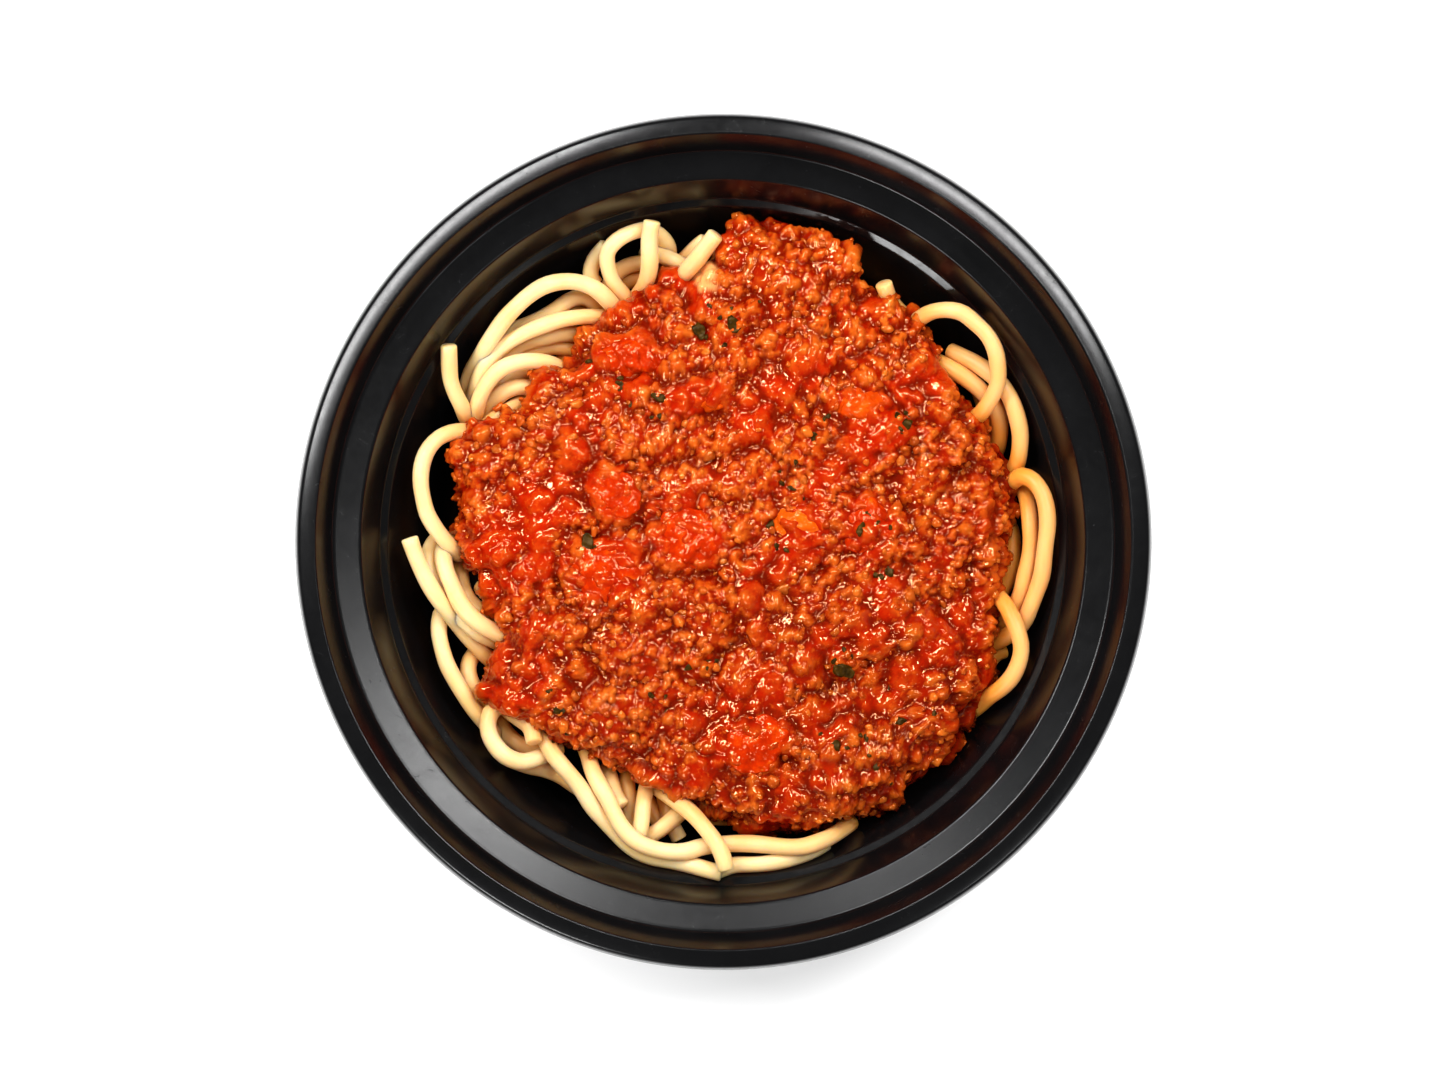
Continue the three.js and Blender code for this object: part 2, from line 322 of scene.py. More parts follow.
def floor_material():
    m = Nodes("pale_floor")
    m.set(colour=m.ramp(m.noise(3, 2), [(0.0, (0.94, 0.94, 0.94)), (1.0, (0.95, 0.95, 0.95))]), roughness=0.7)
    m.shader.inputs["Emission Color"].default_value = (1, 1, 1, 1)
    m.shader.inputs["Emission Strength"].default_value = 0.06
    return m.material


PLASTIC = plastic_material()
PASTA = pasta_material()
SAUCE = sauce_material()
TOMATO = tomato_material()
HERB = herb_material()


# ------------------------------------------------------------------ the tub

TUB_SEGMENTS = 256
# The inside of the wall from the centre of the base to the rim: radius, height, rounding.
INSIDE = [
    (0, 0.8, 0), (54.6, 0.8, 5.5), (63.75, 25.0, 0.35), (65.3, 25.9, 0.3), (68.1, 34.0, 0.55),
    (73.35, 34.75, 0.7), (75.85, 42.0, 0.45), (79.3, 41.1, 0.8), (79.95, 38.6, 0),
]
# The same wall from outside.
OUTSIDE = [
    (0, 0.0, 0), (55.2, 0.0, 6.0), (64.55, 24.5, 0.35), (66.1, 25.4, 0.3), (68.8, 33.3, 0.6),
    (74.0, 34.0, 0.8), (76.35, 40.9, 0.4), (78.7, 40.3, 0.5), (79.35, 38.6, 0),
]


def rounded(corners, steps=5):
    points = []
    for i, (radius, height, trim) in enumerate(corners):
        here = np.array([radius, height])
        if trim == 0:
            points.append(here)
            continue
        before = np.array(corners[i - 1][:2]) - here
        after = np.array(corners[i + 1][:2]) - here
        start = here + before / np.linalg.norm(before) * trim
        end = here + after / np.linalg.norm(after) * trim
        for t in np.linspace(0, 1, steps):
            points.append((1 - t) ** 2 * start + 2 * t * (1 - t) * here + t * t * end)
    return points


def turned(name, profile, material, slot):
    """A solid of revolution; the profile starts and ends on the axis."""
    angles = np.linspace(0, 2 * np.pi, TUB_SEGMENTS, endpoint=False)
    verts, rings = [], []
    for radius, height in profile:
        if radius < 1e-6:
            rings.append([len(verts)] * TUB_SEGMENTS)
            verts.append((0, 0, height))
        else:
            rings.append(list(range(len(verts), len(verts) + TUB_SEGMENTS)))
            verts.extend((radius * math.cos(a), radius * math.sin(a), height) for a in angles)
    faces = []
    for low, high in zip(rings, rings[1:]):
        for i in range(TUB_SEGMENTS):
            j = (i + 1) % TUB_SEGMENTS
            face = list(dict.fromkeys([low[i], low[j], high[j], high[i]]))
            if len(face) > 2:
                faces.append(face)
    return mesh_piece(name, verts, faces, material, slot)


tub = turned("takeaway_tub", [*rounded(OUTSIDE), *rounded(INSIDE)[::-1]], PLASTIC, "black_plastic")
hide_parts("container")


# ------------------------------------------------------------------ the sauce's surface

# How far the sauce spreads, in millimetres by azimuth: its lobes and the notches between them.
sauce_radius = around([
    (0, 54), (8, 56.5), (14, 57), (20, 56), (28, 53.5), (37, 53), (45, 55.5), (50, 57), (55, 56), (62, 56.5),
    (66, 60.5), (72, 62.5), (82, 62.2), (88, 60.3), (90, 58.8), (92, 55.5), (95, 51.7), (98, 50.5),
    (102, 52), (107, 51.5), (112, 49), (118, 49), (123, 48), (131, 45.5), (139, 47), (146, 46), (150, 49),
    (155, 54.5), (163, 55.5), (168, 52.5), (174, 50.5), (182, 50.5), (190, 47), (202, 45), (208, 50),
    (212, 54.5), (217, 54), (222, 51.5), (230, 50.5),
    (237, 49), (246, 48), (254, 49), (260, 49.5), (267, 52.5), (275, 56), (288, 58), (296, 60), (302, 62),
    (308, 59.5), (314, 60.5), (322, 60.5), (330, 59), (338, 55.5), (343, 54), (350, 53.5),
])
# How low its edge hangs, by azimuth.
sauce_hem = around([
    (20, 17), (75, 20), (120, 18), (160, 17), (200, 17), (245, 17), (275, 14), (300, 9), (325, 9),
    (345, 15),
])
CROWN = 30.3


def sauce_base(azimuth, t):
    """The smooth body under the crumbs: t runs 0 at the middle, 0.9 at the widest, 1 tucked under."""
    bulge = np.clip(t / 0.9, 0, 1)
    tuck = np.clip((t - 0.9) / 0.1, 0, 1)
    spread = bulge - 0.03 * tuck ** 2
    reach = sauce_radius(azimuth) * spread
    hem = sauce_hem(azimuth)
    shoulder = np.clip((bulge - 0.84) / 0.16, 0, 1)
    drop = 1 - np.sqrt(np.clip(1 - shoulder ** 2, 0, 1))
    top = CROWN - 2.4 * bulge ** 2
    edge = hem + 4.5
    height = top - (top - edge) * drop - 4.5 * tuck
    angle = np.radians(azimuth)
    return np.stack([reach * np.cos(angle), reach * np.sin(angle), height], axis=-1)


def inside_wall(points):
    """Draws in what would pass the tub's wall, each point at its own height."""
    profile = np.array(rounded(INSIDE))
    rising = profile[:np.argmax(profile[:, 1]) + 1]
    allowed = np.interp(points[:, 2], rising[:, 1], rising[:, 0]) - 0.3
    reach = np.hypot(points[:, 0], points[:, 1])
    drawn = points.copy()
    drawn[:, :2] *= np.minimum(1, allowed / np.maximum(reach, 1e-9))[:, None]
    return drawn


def disc_grid(count):
    """A square grid of count + 1 points a side, eased onto a disc: azimuth in degrees and t."""
    a, b = np.meshgrid(np.linspace(-1, 1, count + 1), np.linspace(-1, 1, count + 1), indexing="ij")
    wide = np.abs(a) > np.abs(b)
    t = np.where(wide, np.abs(a), np.abs(b))
    with np.errstate(divide="ignore", invalid="ignore"):
        angle = np.where(wide, np.pi / 4 * b / a, np.pi / 2 - np.pi / 4 * a / b)
    angle = np.where(t == 0, 0, angle)
    angle = np.where(wide & (a < 0), angle + np.pi, angle)
    angle = np.where(~wide & (b < 0), angle + np.pi, angle)
    return np.degrees(angle), t


def grid_faces(count):
    index = np.arange((count + 1) ** 2).reshape(count + 1, count + 1)
    quads = np.stack([index[:-1, :-1], index[1:, :-1], index[1:, 1:], index[:-1, 1:]], axis=-1)
    return quads.reshape(-1, 4)


def closed(points, count, low):
    """A disc grid's points and faces with a plain underside at the height low."""
    index = np.arange((count + 1) ** 2).reshape(count + 1, count + 1)
    rim = np.concatenate([index[0, :-1], index[:-1, -1], index[-1, :0:-1], index[:0:-1, 0]])
    middle = len(points)
    fan = [(middle, int(b), int(a)) for a, b in zip(rim, np.roll(rim, -1))]
    return np.vstack([points, [0, 0, low]]), [*grid_faces(count).tolist(), *fan]


def blurred(image, radius):
    """A grid of numbers smoothed over radius cells."""
    reach = int(3 * radius)
    kernel = np.exp(-0.5 * (np.arange(-reach, reach + 1) / radius) ** 2)
    kernel /= kernel.sum()
    padded = np.pad(image, reach, mode="edge")
    rows = sum(k * padded[:, i:i + image.shape[1]] for i, k in enumerate(kernel))
    return sum(k * rows[i:i + image.shape[0]] for i, k in enumerate(kernel))


def grid_normals(points):
    across = np.gradient(points, axis=0)
    along = np.gradient(points, axis=1)
    normals = np.cross(across, along)
    return normals / np.maximum(np.linalg.norm(normals, axis=-1, keepdims=True), 1e-9)


GRID = 308
azimuths, ts = disc_grid(GRID)
base = sauce_base(azimuths, ts)
flat = base.reshape(-1, 3)
hills = 1.6 * waves(flat, 26, 3, 2) + 0.6 * waves(flat, 13, 4, 2)
flat[:, 2] += hills * np.clip((1 - ts.ravel()) / 0.12, 0, 1)
base = flat.reshape(base.shape)
flat_normals = grid_normals(base).reshape(-1, 3)
if flat_normals[len(flat) // 2, 2] < 0:
    flat_normals = -flat_normals

# Colours of what is in the sauce; the crease colour is painted shade and the crest colour painted light.
FILM = np.array(linear(149, 27, 0))
PULP = np.array(linear(165, 29, 0))
PAINTED_CREASE_SHADE = np.array(linear(106, 17, 0))
PAINTED_CREST_LIGHT = np.array(linear(224, 116, 32))
MEAT_DARK, MEAT_PALE = np.array(linear(138, 46, 4)), np.array(linear(210, 120, 42))


def scattered(spacing, rng, low=0.0, high=0.99):
    """Grid indices spread over the sauce, none nearer to another than spacing."""
    kept, cells = [], {}
    t_flat = ts.ravel()
    for i in rng.permutation(len(flat)):
        if not low <= t_flat[i] <= high:
            continue
        p = flat[i]
        a, b, c = (p // spacing).astype(int).tolist()
        near = (q for x in (a - 1, a, a + 1) for y in (b - 1, b, b + 1) for z in (c - 1, c, c + 1)
                for q in cells.get((x, y, z), ()))
        x, y, z = p.tolist()
        if any((x - q[0]) ** 2 + (y - q[1]) ** 2 + (z - q[2]) ** 2 < spacing ** 2 for q in near):
            continue
        cells.setdefault((a, b, c), []).append((x, y, z))
        kept.append(int(i))
    return kept


def grains(spacing, seed, vary, depth, power, soft):
    """Rounded grains that press together: height about its mean, and a tone of 0 to 1, for every point.

    The tops vary by vary and fall by depth times the power of how far out a point lies; soft rounds
    the creases.
    """
    rng = np.random.default_rng(seed)
    shift = np.stack([waves(flat, 1.5 * spacing, seed + k, 2) for k in range(3)], axis=1)
    bent = flat + 0.16 * spacing * shift
    chosen = scattered(0.8 * spacing, rng)
    centres = KDTree(len(chosen))
    for k, i in enumerate(chosen):
        centres.insert(bent[i], k)
    centres.balance()
    near = [centres.find_n(p, 5) for p in bent]
    index = np.array([[k for _, k, _ in found] for found in near])
    away = np.array([[d for _, _, d in found] for found in near])
    radius = spacing * rng.uniform(0.75, 1.15, len(chosen))
    top = vary * rng.random(len(chosen))
    tone = rng.random(len(chosen))
    weight = np.exp((top[index] - depth * (away / radius[index]) ** power) / soft)
    total = weight.sum(axis=1)
    height = soft * np.log(total)
    return height - height.mean(), (weight * tone[index]).sum(axis=1) / total


def soft_max(one, two, soft):
    return soft * np.logaddexp(one / soft, two / soft)


patch = waves(flat, 17, 9, 2)
pulpy = np.clip((patch - 0.05) / 0.3, 0, 1)  # smooth tomato pulp rather than mince
clumps, _ = grains(6.5, 21, 2.2, 3.6, 2.0, 0.35)
lumps, lump_tone = grains(3.0, 22, 1.1, 2.9, 2.7, 0.13)
crumbs_up, crumb_tone = grains(1.7, 23, 0.8, 1.9, 2.8, 0.06)
grit, grit_tone = grains(1.05, 24, 0.3, 0.7, 2.2, 0.04)

# The sauce draws up over each tomato piece and leaves only patches of it bare.
TOMATO_SUNK = 2.0
TOMATO_NODES = sorted(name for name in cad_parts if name.startswith("tomato_piece"))
clump_rise = clumps.copy()
over_tomato = np.zeros(len(flat))
for name in TOMATO_NODES:
    low, high = (np.array(corner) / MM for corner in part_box(name))
    centre, half = (low + high) / 2, (high - low) / 2
    uneven = np.stack([1.8 * waves(flat, 7, 83 + k, 2) for k in range(2)], axis=1)
    across = 0.6 * (((flat[:, :2] + uneven - centre[:2]) / half[:2]) ** 2).sum(axis=1)
    near = np.flatnonzero(across < 1)
    dome = centre[2] - 1.5 + half[2] * (1.15 * np.sqrt(1 - across[near]) - 0.45) - flat[near, 2]
    height = dome - 0.35 + 0.6 * waves(flat[near], 4.5, 81, 2)
    clump_rise[near] = soft_max(clump_rise[near], height, 0.3)
    over_tomato[near] = np.maximum(over_tomato[near], np.clip(1.6 * (1 - across[near]), 0, 1))

pulpy = np.maximum(pulpy, over_tomato)
mince = 1 - 0.8 * pulpy
fine = lumps * (1 - 0.4 * pulpy) + (crumbs_up + grit) * mince + 0.3 * waves(flat, 3.4, 31, 2) * pulpy
pool = 0.5 * waves(flat, 7, 15, 2) + 0.1 * waves(flat, 2.4, 16, 2) - 0.35
fine = soft_max(fine, pool, 0.06)
fade = np.clip((1.0 - ts.ravel()) / 0.02, 0, 1)
relief = (clump_rise + fine) * fade
skin = inside_wall(flat + flat_normals * relief[:, None])

# Colour by what lies where: mince on the crumbs, pulp and film between; painted shade in the creases and
# painted light on the crests.
image = relief.reshape(GRID + 1, GRID + 1)
cavity = (image - blurred(image, 3)).ravel()
wide_cavity = (image - blurred(image, 11)).ravel()
above_pool = np.clip((fine - pool) / 0.3, 0, 1)
meaty = np.clip((crumb_tone - 0.45) / 0.3, 0, 1) * (1 - 0.85 * pulpy) * above_pool * 0.5
meat = MEAT_DARK + (MEAT_PALE - MEAT_DARK) * (0.6 * grit_tone + 0.4 * lump_tone)[:, None]
wet = FILM + (PULP - FILM) * pulpy[:, None]
tint_light_and_shade = wet + (meat - wet) * meaty[:, None]
# Painted light: the grains' crests are lightened to orange.
tint_light_and_shade += (PAINTED_CREST_LIGHT - tint_light_and_shade) * (0.4 * np.clip(cavity * 2.4, 0, 1) * (1 - 0.55 * pulpy))[:, None]
# Painted shade: the creases are darkened to brown.
shade = np.clip(-cavity * 1.4 - wide_cavity * 0.5, 0, 0.9)[:, None]
tint_light_and_shade += (PAINTED_CREASE_SHADE - tint_light_and_shade) * shade
# Painted shade: the sauce is darkened towards the low right.
tint_light_and_shade *= 1 - 0.2 * np.clip((20 - flat[:, 1] + 0.5 * flat[:, 0]) / 75, 0, 1)[:, None]
# A strand comes to the surface behind the top edge, smeared with sauce.
smear = np.hypot(flat[:, 0] + 3.4, (flat[:, 1] - 51.0) * 0.6) + 1.4 * waves(flat, 3, 45, 2)
tint_light_and_shade += (np.array(linear(236, 176, 110)) - tint_light_and_shade) * np.clip((2.6 - smear) / 1.2, 0, 0.8)[:, None]

sauce = mesh_piece("meat_sauce_body", *closed(skin, GRID, 14.0), SAUCE, "meat_sauce")
paint(sauce, "tint_light_and_shade", np.vstack([tint_light_and_shade, PAINTED_CREASE_SHADE]))
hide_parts("meat_sauce")


# ------------------------------------------------------------------ the strands

# Strands seen round the edge, in millimetres from the tub's axis: x, y and height.
SEEN = [
    [(-52, 37, 28), (-52, 34.5, 27.5), (-52, 31.5, 26), (-51, 28, 24), (-50, 26, 22), (-49, 23, 18),
     (-47.5, 19.5, 13)],
    [(-49.5, 27, 18), (-49, 31, 20), (-47, 34.5, 22.5), (-44, 39, 24.5), (-41, 43, 25.5), (-36, 47.5, 26),
     (-33, 49, 26), (-29.5, 49.5, 26), (-26, 49, 25.5), (-23.5, 47.5, 24.5), (-21.5, 45.5, 22),
     (-19.5, 43, 17)],
    [(-44, 36.5, 16), (-40.5, 40.5, 19), (-36.5, 42, 20.5), (-32.5, 44, 21), (-30, 46, 21),
     (-27, 47, 20.5), (-24.5, 45.5, 19), (-22, 43.5, 15)],
    [(-43, 34.5, 14), (-39, 39, 17), (-34, 42, 18), (-29.5, 44, 18), (-24.5, 44, 17), (-22, 42.5, 14)],
    [(-49.5, 23.5, 17), (-48, 27.5, 20.5), (-46, 33, 22.5), (-43, 36.5, 23.5), (-39.5, 39, 24),
     (-35, 41, 23.5), (-30.5, 42.5, 23), (-26, 43, 22), (-23, 43, 20), (-20.5, 42, 16)],
    [(-43.5, 32.5, 16), (-41, 36.5, 18), (-37, 38.5, 19.5), (-34, 39, 19.5), (-30.5, 40, 19),
     (-26.5, 39.5, 16)],
    [(-40, 34.5, 15), (-36, 37, 18), (-32.5, 37.5, 18.5), (-28.5, 37, 17), (-25.5, 36.5, 14)],
    [(-48, 22.5, 18), (-47.5, 24.5, 19.5), (-46, 28.5, 22), (-43.5, 32, 24), (-40, 34, 25),
     (-36, 34.5, 24.5), (-33, 34, 23), (-30.5, 32.5, 20), (-28.5, 30.5, 16)],
    [(-46.5, 22, 17), (-45.5, 24.5, 19.5), (-43.5, 27.5, 22), (-40.5, 29.5, 23), (-37.5, 29.5, 22),
     (-35, 28.5, 18)],
    [(-46, 21.5, 18), (-44.5, 23, 19.5), (-42, 24.5, 21.5), (-40, 26, 21.5), (-38, 27, 19)],
    [(-47.5, 22.5, 14), (-46, 27.5, 16), (-43, 31, 17.5), (-39, 32.5, 17.5), (-34.5, 32.5, 16)],
    [(-17, 44, 16), (-18.5, 46.5, 19), (-21, 49.5, 22.5), (-22, 52.5, 24.5), (-22, 55.5, 25.5),
     (-20, 57.5, 26), (-17, 59, 26), (-14.5, 59.5, 25), (-11.5, 58, 23.5), (-10.5, 56.5, 22),
     (-10.5, 54.5, 19), (-11.5, 52, 15)],
    [(-24.5, 49.5, 17), (-25.5, 51, 18.5), (-25, 53.5, 20), (-24, 55, 20.5), (-22.5, 56.5, 19)],
    [(-22.5, 48, 16), (-21, 51, 18.5), (-18.5, 53, 20), (-16, 53.5, 20), (-13, 53.5, 18), (-10.5, 52, 14)],
    [(-21.5, 46.5, 15), (-20.5, 49, 17), (-18, 50.5, 18.5), (-15.5, 50.5, 18.5), (-13.5, 49.5, 15)],
    [(-13.5, 60.5, 28.5), (-14, 59, 29), (-14, 57, 28.5), (-14, 55, 28), (-14, 52.5, 26.5),
     (-14.5, 50, 24.5), (-16, 47.5, 21.5), (-18, 45.5, 17)],
    [(-15, 55.5, 19), (-12.5, 55, 21), (-10, 54, 22.5), (-8, 53, 23), (-6.5, 52, 22.5), (-5, 50, 18)],
    [(-1.5, 58, 29), (-2.5, 56.5, 28.5), (-4, 55, 28), (-5.5, 53, 27), (-7, 51.5, 25), (-8, 49.5, 20)],
    [(-3.5, 57.5, 21), (-5, 56.5, 22), (-6.5, 55, 21.5), (-8.5, 53.5, 18)],
    [(-47.5, 21, 19), (-50.5, 21, 22.5), (-53, 20.5, 24.5), (-55.5, 18.5, 26), (-57, 15.5, 27),
     (-57.5, 12, 27), (-57, 8, 26.5), (-56, 4.5, 25.5), (-54, 1.5, 24), (-52, -1, 21.5), (-50, -3, 17)],
    [(-59.5, 0.5, 27), (-58.5, -2.5, 26.5), (-56.5, -7, 25.5), (-54.5, -10.5, 24.5), (-52, -14, 23.5),
     (-49.5, -17.5, 22), (-46.5, -21, 19), (-44, -23.5, 15)],
    [(-53.5, 0.5, 18), (-55, 0.5, 21), (-56, -1, 22.5), (-56.5, -3.5, 23.5), (-55.5, -7, 24),
     (-53.5, -10.5, 24), (-50.5, -14, 23.5), (-47.5, -17, 22.5), (-44, -19, 20), (-41, -20.5, 16)],
    [(-51.5, 0.5, 19), (-53, -0.5, 22), (-53.5, -2, 24), (-53, -5, 25), (-51.5, -8.5, 25.5),
     (-49.5, -12.5, 25.5), (-46.5, -15.5, 24.5), (-43, -17.5, 22.5), (-40, -19.5, 18)],
    [(-50.5, -3.5, 17), (-50.5, -5.5, 19.5), (-49.5, -10, 21), (-46.5, -13.5, 21), (-43.5, -15.5, 19)],
    [(-46.5, -8.5, 19), (-45, -10, 21.5), (-44, -11.5, 22.5), (-43.5, -13.5, 22)],
    [(-52.5, -3, 15), (-51.5, -7.5, 17), (-49.5, -11.5, 18), (-46.5, -15.5, 18), (-43, -18, 15)],
    [(-53, -12, 19), (-54, -13.5, 21), (-54.5, -16.5, 21.5), (-54, -19.5, 22), (-53, -23, 22),
     (-51.5, -26, 22), (-49.5, -29.5, 21.5), (-47.5, -32.5, 20.5), (-45, -35.5, 19), (-43, -38.5, 16)],
    [(-47.5, -21, 18), (-49, -23.5, 19.5), (-49, -25.5, 20.5), (-48, -28, 20.5), (-46, -30.5, 20),
     (-44, -32.5, 17)],
    [(-40.5, -31, 19), (-42, -31, 21.5), (-44, -32, 23.5), (-45, -34.5, 24.5), (-44, -38, 24.5),
     (-42, -40.5, 24.5), (-39, -42, 24), (-36, -41.5, 23.5), (-33.5, -40.5, 21.5), (-31, -39, 17)],
    [(-43, -30.5, 19), (-41, -32.5, 21), (-38.5, -34, 23), (-36.5, -35.5, 24), (-36, -38, 24)],
    [(-43.5, -34, 17), (-42, -36.5, 18.5), (-39, -39, 19.5), (-35, -40, 19), (-32, -40.5, 17)],
    [(-40.5, -42, 17.5), (-38, -43, 18), (-35, -43.5, 18), (-32, -44.5, 17.5), (-28.5, -47, 17),
     (-25.5, -49, 15)],
    [(-36.5, -34.5, 19), (-34.5, -37, 23), (-32.5, -40.5, 24.5), (-30, -43.5, 24.5), (-27.5, -46.5, 24),
     (-25, -50.5, 23), (-21.5, -54.5, 22.5), (-18.5, -57.5, 22), (-15.5, -59.5, 22), (-12, -60.5, 22),
     (-8.5, -61, 22), (-4.5, -62, 22), (-0.5, -63, 22.5)],
    [(-13, -47, 19), (-10.5, -48.5, 23.5), (-8, -50, 26), (-5.5, -52, 28), (-2.5, -55.5, 29),
     (-0.5, -58.5, 29), (0.5, -62, 27.5)],
    [(-26.5, -39.5, 19), (-25.5, -42, 22.5), (-24.5, -45, 24), (-22.5, -48, 25), (-19.5, -54, 25.5),
     (-16.5, -57, 25.5), (-12.5, -58.5, 25.5), (-8, -59, 25.5), (-4, -58, 25), (0.5, -57.5, 24.5),
     (6, -57.5, 24.5), (11.5, -58, 24.5), (15, -58, 24), (18.5, -57, 23), (21, -56, 21), (24.5, -54, 17)],
    [(-1, -62.5, 21), (2.5, -61.5, 21.5), (6, -61.5, 21.5), (10, -61, 21.5), (14, -60, 21.5),
     (17, -59, 20.5), (20.5, -57, 17)],
    [(-14, -45.5, 18), (-15, -48, 22), (-15.5, -52.5, 23), (-16, -56, 23)],
    [(-22.5, -43.5, 17), (-21.5, -46, 20.5), (-20.5, -49, 21.5), (-19.5, -50.5, 21)],
    [(-18.5, -44, 16), (-18.5, -47.5, 18.5), (-18, -52, 19), (-18, -55, 18)],
    [(-17, -57, 19), (-14.5, -56.5, 21), (-12, -55, 22), (-9, -52.5, 22.5), (-7, -50.5, 20), (-5, -48, 16)],
    [(-12, -46.5, 16), (-11, -50.5, 18.5), (-10, -54, 19), (-8.5, -57, 18)],
    [(-16, -48, 15), (-13.5, -52, 17), (-11.5, -56, 17)],
    [(-6, -51, 17), (-3.5, -52.5, 18.5), (0, -53, 18.5), (3, -53, 16)],
    [(30.5, 49, 25.5), (31, 47.5, 25.5), (32.5, 45, 24.5), (34.5, 43.5, 22), (36, 42, 17)],
    [(35, 40.5, 19), (37.5, 42.5, 23), (39, 43.5, 26), (42, 44, 28), (45, 43.5, 29), (47.5, 41.5, 29.5),
     (50, 39, 29.5), (51.5, 36, 29.5), (52, 33, 29), (52, 30, 28.5), (51, 27.5, 28), (49.5, 25, 26.5),
     (48, 23.5, 23.5), (46, 21.5, 18)],
    [(43.5, 36.5, 20), (46.5, 35, 22.5), (49, 33.5, 23.5), (51.5, 31.5, 24.5), (54, 28.5, 25),
     (55.5, 25, 25), (56.5, 21, 25), (56.5, 17.5, 25), (56, 14.5, 23.5), (54, 11.5, 19)],
    [(41, 34.5, 20), (43.5, 33, 22.5), (46, 31.5, 23.5), (48.5, 29.5, 24), (50.5, 27.5, 23),
     (52.5, 24.5, 21.5), (53, 21, 20), (52.5, 17.5, 16)],
    [(48.5, 31, 17), (50, 27, 18.5), (51.5, 23.5, 18.5), (52.5, 19.5, 16)],
    [(54.5, 10.5, 18), (56, 12, 21.5), (57.5, 12.5, 24.5), (59.5, 11, 26.5), (61, 8, 27.5),
     (61.5, 3, 27.5), (61, -1.5, 27), (60.5, -6.5, 26), (59, -11, 24.5), (57.5, -15, 22.5),
     (54.5, -18, 20.5), (52, -19.5, 19), (49.5, -21, 15)],
    [(55.5, 12, 17), (57, 11, 20.5), (58, 8.5, 23), (58.5, 3, 24), (58.5, -1.5, 24), (57.5, -6.5, 23.5),
     (56.5, -11, 22.5), (55, -13.5, 20.5), (53, -16.5, 18), (51, -19, 14)],
    [(54.5, 4, 16), (55.5, 2, 18), (55.5, -2, 19.5), (55, -6, 19.5), (53.5, -9.5, 18.5), (52, -12, 15)],
    [(51, -9, 20), (53, -11, 24), (54.5, -13.5, 26), (55.5, -16, 27), (56.5, -19, 27.5),
     (56.5, -21.5, 27.5), (55.5, -24.5, 26.5), (54, -27, 25.5), (51.5, -29, 24), (50, -30.5, 20),
     (47.5, -33, 15)],
    [(54, -21, 19), (52.5, -21.5, 19.5), (51, -23, 17)],
]


def smooth_path(stops, step):
    """Points about step apart along a centripetal curve through the stops."""
    points = np.array(stops, dtype=float)
    ends = np.vstack([2 * points[0] - points[1], points, 2 * points[-1] - points[-2]])
    run = [points[0]]
    for p0, p1, p2, p3 in zip(ends, ends[1:], ends[2:], ends[3:]):
        t0 = 0.0
        t1 = t0 + np.linalg.norm(p1 - p0) ** 0.5
        t2 = t1 + np.linalg.norm(p2 - p1) ** 0.5
        t3 = t2 + np.linalg.norm(p3 - p2) ** 0.5
        for t in np.linspace(t1, t2, max(3, int(np.linalg.norm(p2 - p1) / step * 2)))[1:]:
            a1 = (t1 - t) / (t1 - t0) * p0 + (t - t0) / (t1 - t0) * p1
            a2 = (t2 - t) / (t2 - t1) * p1 + (t - t1) / (t2 - t1) * p2
            a3 = (t3 - t) / (t3 - t2) * p2 + (t - t2) / (t3 - t2) * p3
            b1 = (t2 - t) / (t2 - t0) * a1 + (t - t0) / (t2 - t0) * a2
            b2 = (t3 - t) / (t3 - t1) * a2 + (t - t1) / (t3 - t1) * a3
            run.append((t2 - t) / (t2 - t1) * b1 + (t - t1) / (t2 - t1) * b2)
    return respaced(np.array(run), step)


def respaced(run, step):
    lengths = np.concatenate([[0], np.cumsum(np.linalg.norm(np.diff(run, axis=0), axis=1))])
    count = max(3, int(round(lengths[-1] / step)) + 1)
    at = np.linspace(0, lengths[-1], count)
    return np.stack([np.interp(at, lengths, run[:, k]) for k in range(3)], axis=1)


def wall_height(radius):
    """Height of the tub's inside at a distance from its axis."""
    profile = np.array([p for p in rounded(INSIDE)])
    return np.interp(radius, profile[:, 0], profile[:, 1])


# The sauce's height seen from above, without its crumbs.
shown = np.flatnonzero(ts.ravel() < 0.9)
top_view = KDTree(len(shown))
for k, i in enumerate(shown):
    top_view.insert((flat[i, 0], flat[i, 1], 0), k)
top_view.balance()
soft_top = flat[shown, 2]

nest_radius = around([
    (0, 53), (22, 50), (45, 47), (62, 49), (80, 52), (104, 50), (128, 49), (146, 49),
    (166, 47), (184, 49), (205, 50), (222, 49), (238, 48), (258, 48), (280, 50), (310, 49), (340, 50),
])


def buried_strands(count, rng):
    """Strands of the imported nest: long arcs that wander round it at every height."""
    paths = []
    for k in range(count):
        height = 3.0 + 15.5 * (k / count) ** 0.9
        start = rng.uniform(0, 360)
        sweep = rng.uniform(90, 200) * rng.choice([-1, 1])
        inner, outer = sorted(rng.uniform(0.55, 1.0, 2))
        middle = rng.uniform(-8, 8, 2)
        stops = []
        for share in np.linspace(0, 1, 9):
            azimuth = start + sweep * share
            reach = inner + (outer - inner) * (0.5 - 0.5 * math.cos(2 * math.pi * share + k))
            radius = reach * (float(nest_radius(azimuth)) - 1)
            angle = math.radians(azimuth)
            stops.append((radius * math.cos(angle) + middle[0] * (1 - reach), radius * math.sin(angle)
                          + middle[1] * (1 - reach), height + 1.5 * math.sin(3.1 * share * math.pi + k)))
        paths.append(smooth_path(stops, 2.0))
    return paths


